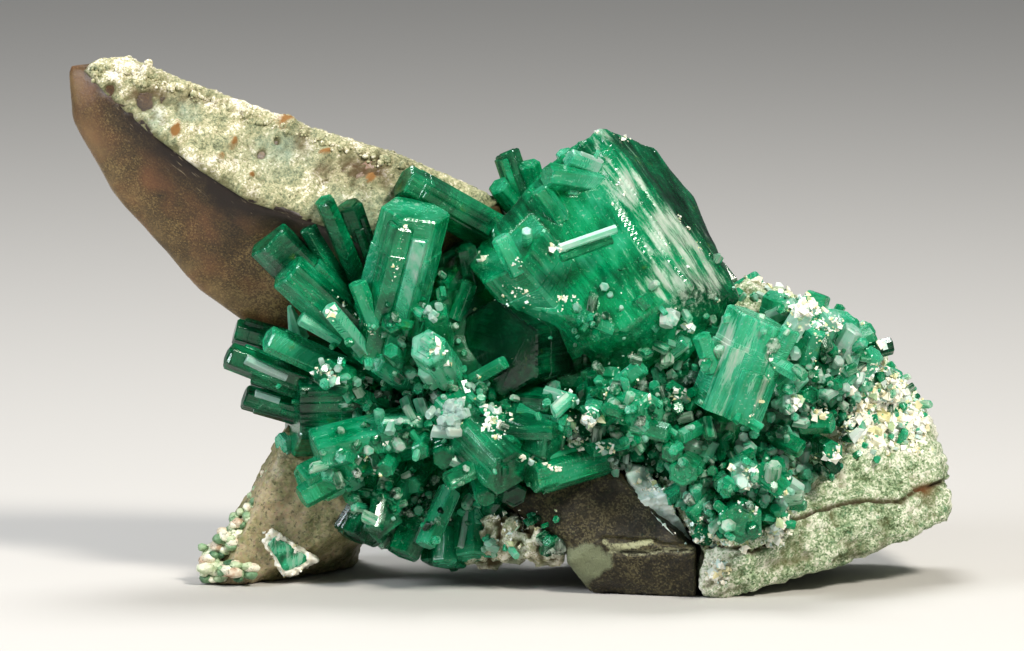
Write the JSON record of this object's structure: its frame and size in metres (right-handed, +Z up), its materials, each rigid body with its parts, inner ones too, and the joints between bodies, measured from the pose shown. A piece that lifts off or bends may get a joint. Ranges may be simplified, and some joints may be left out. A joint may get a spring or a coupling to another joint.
{
  "type": "emerald crystal cluster on matrix",
  "caption": "Cabinet mineral specimen: hexagonal emerald prisms grown over smoky quartz and pale feldspar, with a long crusted quartz crystal, standing on its own flat quartz base.",
  "frame": {"origin": "on the flat underside of base_quartz, the face that the specimen rests on, below the middle of the specimen", "axes": "+X to the right along the specimen's width as it is displayed, -Y towards the display side (the viewer), +Z up from the ground that it rests on"},
  "size_m": [0.2001, 0.0838, 0.1209],
  "materials": {
    "smoky_quartz": "smooth crystal faces, vitreous, cloudy brown",
    "dark_quartz": "broken dark smoky quartz, speckled",
    "feldspar": "rough, granular, matt",
    "pale_crust": "bumpy mineral crust, matt",
    "green_nodules": "rounded nodules, satin",
    "emerald": "clear to milky green beryl, vitreous flat faces"
  },
  "bodies": {
    "root": {"long_quartz": "smoky_quartz", "quartz_crust": "pale_crust", "foot_quartz": "smoky_quartz", "foot_crust": "green_nodules", "foot_emerald": "emerald", "base_quartz": "dark_quartz", "matrix_slab": "feldspar", "pale_crust": "pale_crust", "emerald_cluster": "emerald"}
  },
  "joints": []
}
